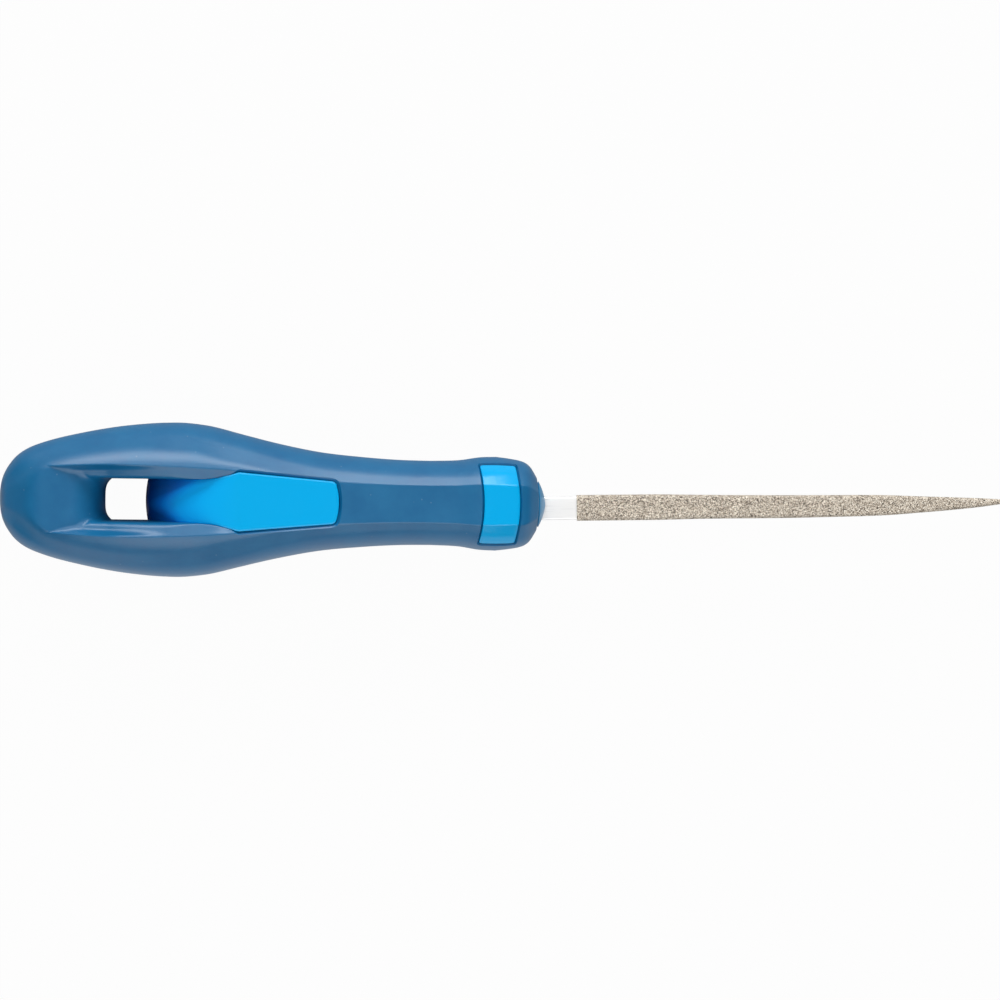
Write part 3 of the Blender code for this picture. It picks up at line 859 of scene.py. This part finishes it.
def build_grip():
    """The soft overmould: its skin, the channel of the hang hole and the nose's bore.

    The slot's faces are left out from the row of the hole's rear end to that of the panel's rear,
    where a wall closes it.
    """
    stations = grip_stations()
    columns = SKIN_STEPS + SIDE_STEPS + LAP_STEPS + FLOOR_STEPS
    rows = [pole(0, columns), *(grip_row(x, channelled) for x, channelled in stations)]
    slot_start = next(i for i, (x, _) in enumerate(stations) if x >= HOLE_REAR) + 1
    slot_end = next(i for i, (_, channelled) in enumerate(stations) if not channelled)
    for j, point in enumerate(rows[slot_end]):
        if j >= SKIN_STEPS:
            rows[slot_end + 1][j] = Vector((point.x, point.y, skin_height(point.x, point.y)))
    front = stations[-1][0] + FRONT_EDGE
    eased = FRONT_EDGE * EDGE_MIDDLE_share
    rows.append(grip_row(front - eased, False, eased))
    rows.append(grip_row(front, False, FRONT_EDGE))
    rows.append(shifted(arc(BORE_RADIUS, front, columns)))
    rows.append(arc(BORE_RADIUS, SPIGOT_REAR, columns))
    rows.append(pole(SPIGOT_REAR, columns))

    def opened(i, j):
        return slot_start <= i < slot_end and j >= SKIN_STEPS + SIDE_STEPS

    grip = piece("grip", quarter(rows, opened))
    lip = (SEAM / 2, PANEL_LIP_DEPTH)
    shoulder = (PANEL_LIP_WIDTH, -LIP_OVER)
    levels = [(*shoulder, -1), (*lip, -1), (*lip, 1), (*shoulder, 1)]
    cutters = [piece("panel_opening", block(*OPENING_GRID, levels, opening_spot))]
    edges = [(SEAM / 2, WINDOW_LIP_DEPTH), (WINDOW_LIP_WIDTH, -LIP_OVER)]
    cutters += window("window_opening", [(SEAM / 2, WINDOW_DEPTH), *edges])
    cutters.append(stem("core_space", GRIP_WALL - SEAM, STEM_REAR - SEAM, SPIGOT_REAR + SEAM))
    cut(grip, cutters)
    return grip


def build_core():
    """The light hard core: tongue and panels, the stem inside the grip, and both windows."""
    eased = EDGE_ROUND * EDGE_MIDDLE_share
    edge = ((EDGE_ROUND, 0), (eased, eased), (0, EDGE_ROUND))
    levels = [(-SEAM / 2 - inset, depth, -1) for inset, depth in edge]
    levels.append((-SEAM / 2, 0, 0))
    levels += [(-SEAM / 2 - inset, depth, 1) for inset, depth in edge[::-1]]
    core = piece("core", block(*TONGUE_GRID, levels, tongue_spot))
    levels = [(-SEAM / 2, WINDOW_DEPTH - SEAM)]
    levels += [(-SEAM / 2 - inset, WINDOW_RECESS + depth) for inset, depth in edge[::-1]]
    added = [stem("stem", GRIP_WALL, STEM_REAR, SPIGOT_REAR), *window("window", levels)]
    cut(core, added, "UNION")
    return core


def build_nose():
    """The bush: a spigot in the grip's bore and a blunt front, before the shank's slot is cut."""
    foot = SPIGOT_REAR + SEAM
    rows = [pole(foot, NOSE_STEPS), arc(SPIGOT_RADIUS, foot, NOSE_STEPS)]
    rows.append(shifted(arc(SPIGOT_RADIUS, GROOVE_STATION - GROOVE_DEPTH, NOSE_STEPS)))
    rear = GROOVE_STATION + GROOVE_WIDTH / 2
    eased = FRONT_EDGE * EDGE_MIDDLE_share
    places = [(rear, FRONT_EDGE), (rear + eased, eased)]
    for share in (0, *steps(NOSE_ROWS)):
        places.append((between(rear + FRONT_EDGE, HANDLE_LENGTH, share), 0))
    rows += [shifted(skin_row(x, inset, NOSE_STEPS)) for x, inset in places]
    rows.append(pole(HANDLE_LENGTH, NOSE_STEPS))
    return piece("nose", quarter(rows))


def build_blank():
    """The steel: a tapering tang, the bare shank and the blade under the coating."""
    places = [-TANG_LENGTH, -TANG_LENGTH + TANG_END, -TANG_FRONT, 0, BARE_SHANK]
    places += [between(BARE_SHANK, FILE_LENGTH, share) for share in steps(COAT_ROWS)[:-1]]
    return piece("blank", blank_form([*places, FILE_LENGTH - BLANK_SHORT]))


def build_socket():
    """The space for the tang and the shank, which is cut out of the core and the bush."""
    places = [-TANG_LENGTH - SOCKET_GAP, -TANG_FRONT, 0, BARE_SHANK]
    return piece("socket", blank_form(places, SOCKET_GAP))


def even(ring, count):
    """A closed ring of points laid out again an even length apart."""
    ring = ring + ring[:1]
    lengths = [math.dist(a, b) for a, b in zip(ring, ring[1:])]
    made, span, gone = [], 0, 0
    for i in range(count):
        goal = sum(lengths) * i / count
        while gone + lengths[span] < goal:
            gone += lengths[span]
            span += 1
        made.append(ring[span].lerp(ring[span + 1], (goal - gone) / lengths[span]))
    return made


def build_coating():
    """The grit, as a sleeve closed over the tip: its inner face, then its rough outer face."""
    rings = []
    for share in (0, *steps(COAT_ROWS)):
        x = between(BARE_SHANK, FILE_LENGTH - COAT_THICKNESS, share)
        rings.insert(0, even(blade_ring(x, BOND_GAP), GRIT_COLUMNS))
    for share in (0, *steps(GRIT_ROWS)):
        x = between(BARE_SHANK, FILE_LENGTH, share)
        axis = Vector((x, 0, 0))
        rough = []
        for point in even(blade_ring(x, BOND_GAP + COAT_THICKNESS), GRIT_COLUMNS):
            sunk = GRAIN_DEPTH * (0.5 + noise.noise(point / GRAIN_SIZE))
            rough.append(point + (axis - point).normalized() * sunk)
        rings.append(rough)
    return piece("coating", tube([bowed(ring[0].x, ring) for ring in rings]))


class Wire:
    """An output of a shader node, on which Python's own operators work."""

    def __init__(self, tree, socket=None):
        self.tree, self.socket = tree, socket

    def node(self, kind, settings=None, inputs=None, output=0):
        """Adds a node with its settings and its sockets' values or links, and gives an output."""
        made = self.tree.nodes.new("ShaderNode" + kind)
        for name, value in (settings or {}).items():
            if name == "stops":
                ramp = made.color_ramp
                while len(ramp.elements) < len(value):
                    ramp.elements.new(0.5)
                for element, (place, color) in zip(ramp.elements, value):
                    element.position, element.color = place, (*color, 1)
            else:
                setattr(made, name, value)
        for name, value in (inputs or {}).items():
            if isinstance(value, Wire):
                self.tree.links.new(value.socket, made.inputs[name])
            else:
                made.inputs[name].default_value = value
        return Wire(self.tree, made.outputs[output])

    def maths(self, operation, first, second=0.0):
        return self.node("Math", {"operation": operation}, {0: first, 1: second})

    def mix(self, factor, first, second):
        """A colour at a share of the way between two. 6, 7 and 2 are the colours' own sockets."""
        kind = {"data_type": "RGBA"}
        return self.node("Mix", kind, {0: factor, 6: first, 7: second}, output=2)

    def axis(self, name):
        """The X, Y or Z of a vector."""
        return self.node("SeparateXYZ", inputs={"Vector": self}, output=name)

    def clouds(self, scale, detail):
        """Soft noise over a place, from 0 to 1."""
        return self.node("TexNoise", inputs={"Vector": self, "Scale": scale, "Detail": detail})

    def stretch(self, low, high):
        """The share of the way from low to high, from 0 to 1. High may be the lesser."""
        limits = {"Value": self, "From Min": low, "From Max": high}
        return self.node("MapRange", inputs=limits)

    def ramp(self, stops):
        """A colour from a ramp with stops of a place and a colour."""
        return self.node("ValToRGB", {"stops": stops}, {0: self})

    def bumps(self, strength, distance):
        """A normal from a height."""
        size = {"Strength": strength, "Distance": distance, "Height": self}
        return self.node("Bump", inputs=size)

    def __add__(self, other):
        return self.maths("ADD", self, other)

    __radd__ = __add__

    def __mul__(self, other):
        return self.maths("MULTIPLY", self, other)

    __rmul__ = __mul__

    def __sub__(self, other):
        return self.maths("SUBTRACT", self, other)

    def __rsub__(self, other):
        return self.maths("SUBTRACT", other, self)


def surface(name, **constants):
    """A new material with one plain shader, its inputs, and a wire from the object's own place."""
    made = bpy.data.materials.new(name)
    made.use_nodes = True
    shader = made.node_tree.nodes["Principled BSDF"]
    for key, value in constants.items():
        shader.inputs[key.replace("_", " ")].default_value = value
    return made, shader.inputs, Wire(made.node_tree).node("TexCoord", output="Object")


def feed(target, wire):
    wire.tree.links.new(wire.socket, target)


def grip_rubber():
    """Dark blue rubber, cloudy and a little scuffed, with a fine grain and faint specks of dust."""
    dark, light, dusty = (0.003, 0.110, 0.266), (0.004, 0.136, 0.306), (0.4, 0.46, 0.52, 1)
    made, inputs, place = surface("soft blue rubber", Specular_IOR_Level=0.6)
    grain = place.clouds(2600.0, 2.0)
    cloud = place.clouds(140.0, 4.0)
    scuff = place.clouds(700.0, 3.0)
    tones = (cloud * 0.7 + scuff * 0.3).ramp([(0.3, dark), (0.7, light)])
    dust = place.node("TexVoronoi", inputs={"Vector": place, "Scale": 330.0})
    speck = dust.stretch(0.07, 0.04)
    feed(inputs["Base Color"], place.mix(speck * 0.14, tones, dusty))
    feed(inputs["Roughness"], 0.27 + 0.09 * cloud + 0.07 * scuff)
    feed(inputs["Normal"], grain.bumps(0.25, 0.00002))
    return made


def core_plastic():
    """Light blue plastic, with painted shade down the tongue's ramp and a painted shadow along its
    upper flank.
    """
    made, inputs, place = surface("light blue plastic", Specular_IOR_Level=0.38)
    # Painted shade: the colour darkens down the ramp towards the hole, where shade falls in the
    # channel
    up_ramp = place.axis("X").stretch(GRIP_LOW.x + HOLE_FRONT, GRIP_LOW.x + PANEL_REAR)
    aside = place.axis("Y") + TONGUE_PAINTED_SHADOW_ASIDE
    # Painted shadow of the channel's walls: a curve across, centred a little below the middle
    wall_shadow = TONGUE_PAINTED_SHADOW_curve * aside * aside
    painted_shade = place.maths("MAXIMUM", up_ramp - wall_shadow * (1.0 - up_ramp), TONGUE_PAINTED_SHADOW_share * up_ramp)
    # Every stop but the last is painted shade; the last is the plastic's own light blue
    feed(inputs["Base Color"], painted_shade.ramp([
        (0.0, (0.0, 0.03, 0.20)), (0.05, (0.0, 0.07, 0.30)), (0.14, (0.0, 0.14, 0.56)),
        (0.22, (0.0, 0.28, 0.86)), (0.33, (0.0, 0.39, 0.95)), (0.45, (0.0, 0.40, 0.92)),
        (0.65, (0.0, 0.395, 0.84)), (1.0, (0.0, 0.39, 0.78)),
    ]))
    feed(inputs["Roughness"], 0.16 + 0.08 * place.clouds(500.0, 4.0))
    return made


def bush_plastic():
    """Mid blue plastic with a faint haze."""
    dark, light = (0.032, 0.25, 0.49, 1), (0.048, 0.29, 0.55, 1)
    made, inputs, place = surface("mid blue plastic")
    haze = place.clouds(900.0, 4.0)
    feed(inputs["Base Color"], place.mix(haze, dark, light))
    feed(inputs["Roughness"], 0.24 + 0.12 * haze)
    return made


def ground_steel():
    """Bright steel with fine grinding marks along the file."""
    bright, marked = (0.95, 0.945, 0.935, 1), (0.6, 0.6, 0.61, 1)
    made, inputs, place = surface("ground steel", Metallic=0.4)
    drawn_out = {"Vector": place, "Scale": (120.0, 5000.0, 5000.0)}
    ground = place.node("Mapping", inputs=drawn_out).clouds(1.0, 3.0)
    feed(inputs["Base Color"], place.mix(ground.stretch(0.58, 0.7) * 0.5, bright, marked))
    feed(inputs["Roughness"], 0.36 + 0.12 * ground)
    feed(inputs["Normal"], ground.bumps(0.2, 0.00001))
    return made


def diamond_grit():
    """Tan and grey grains from nearly black to nearly white."""
    made, inputs, place = surface("diamond grit", Roughness=0.6)
    cells = {"Vector": place, "Scale": 6000.0}
    grains = place.node("TexVoronoi", inputs=cells, output="Color")
    shade = place.node("SeparateColor", inputs={"Color": grains})
    feed(inputs["Base Color"], (0.6 * shade + 0.4 * place.clouds(4500.0, 1.0)).ramp([
        (0.24, (0.04, 0.03, 0.02)), (0.4, (0.33, 0.27, 0.21)), (0.6, (0.59, 0.51, 0.41)),
        (0.8, (0.90, 0.84, 0.73)),
    ]))
    return made


def floor_paper():
    """Paper that is plain white to the camera and grey to everything that it lights.

    Gloss sees it as a white glow only towards -Y, a glow that is no lamp: it lays a white
    reflection along the object's lower edge and keeps the hole's walls dark.
    """
    made, _, place = surface("white paper")
    seen = place.node("LightPath", output="Is Camera Ray")
    mirrored = place.node("LightPath", output="Is Glossy Ray")
    through = place.node("LightPath", output="Is Transmission Ray")
    # A glow seen only in reflections, on the -Y side, which whitens the object's lower edge
    glow_to_gloss = place.axis("Y").stretch(0.0, PAPER_MIRRORED_FROM)
    lit = seen * PAPER_SEEN + mirrored * glow_to_gloss + through * PAPER_THROUGH
    plain = place.node("BsdfDiffuse", inputs={"Color": (0.4, 0.4, 0.4, 1)})
    glow = place.node("Emission", inputs={"Color": (1, 1, 1, 1), "Strength": 1.0})
    mixed = place.node("MixShader", inputs={0: lit, 1: plain, 2: glow})
    feed(made.node_tree.nodes["Material Output"].inputs["Surface"], mixed)
    return made


def lamp(name, place, size, radiance):
    """A soft lamp that faces the middle of the object; at a radiance of 1 it looks white."""
    data = bpy.data.lights.new(name, "AREA")
    data.shape = "RECTANGLE"
    data.size, data.size_y = size
    data.energy = radiance * math.pi * size[0] * size[1]
    made = bpy.data.objects.new(name, data)
    bpy.context.scene.collection.objects.link(made)
    aim = (Vector(LAMP_AIM) - Vector(place)).to_track_quat("-Z", "Y")
    made.matrix_world = Matrix.Translation(place) @ aim.to_matrix().to_4x4()


# Pieces
grip, core, nose = build_grip(), build_core(), build_nose()
for part in (grip, core, nose):
    part.data.transform(HANDLE)
blank, coating = build_blank(), build_coating()
for part in (blank, coating):
    part.data.transform(FILE)
for part in (core, nose):
    socket = build_socket()
    socket.data.transform(FILE)
    cut(part, [socket])

for part, node, slot, body, finish in (
    (grip, "grip_overmould", "grip", "handle", grip_rubber()),
    (core, "handle_core", "core", "handle", core_plastic()),
    (nose, "nose_bush", "nose", "handle", bush_plastic()),
    (blank, "file_blank", "steel", "file", ground_steel()),
    (coating, "diamond_coating", "grit", "file", diamond_grit()),
):
    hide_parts(node)
    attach(part, body)
    part.data.materials.clear()
    part.data.materials.append(finish)

# Floor and world, which looks white to the camera and lights the object faintly
floor_form = bmesh.new()
bmesh.ops.create_grid(floor_form, x_segments=1, y_segments=1, size=3)
floor = piece("floor", floor_form)
floor.data.materials.append(floor_paper())

world = bpy.data.worlds.new("studio")
bpy.context.scene.world = world
world.use_nodes = True
sky = world.node_tree.nodes["Background"].inputs
sky["Color"].default_value = (1, 1, 1, 1)
behind = Wire(world.node_tree).node("LightPath", output="Is Camera Ray")
feed(sky["Strength"], WORLD_LIGHT + WORLD_SEEN * behind)

# Lamps
lamp("above window", place=(0, 0.75, 1.5), size=(1.6, 0.6), radiance=2.7)
lamp("above desk", place=(0, -0.75, 1.5), size=(1.6, 0.6), radiance=2.2)
lamp("window side", place=(0, 0.78, 0.4), size=(1.3, 0.3), radiance=7.2)
lamp("fill", place=(0, -0.75, 0.5), size=(0.9, 0.5), radiance=2.2)

# Camera
view = bpy.data.cameras.new("camera")
camera = bpy.data.objects.new("camera", view)
bpy.context.scene.collection.objects.link(camera)
view.sensor_width = SENSOR_WIDTH
view.lens = view.sensor_width * CAMERA_DISTANCE / PICTURE_WIDTH
camera.matrix_world = (
    Matrix.Translation(CAMERA_AIM)
    @ Matrix.Rotation(CAMERA_TURN, 4, "Z")
    @ Matrix.Rotation(CAMERA_TILT, 4, "X")
    @ Matrix.Translation((0, 0, CAMERA_DISTANCE))
)
bpy.context.scene.camera = camera
bpy.context.scene.view_settings.view_transform = "Standard"

bpy.context.view_layer.update()
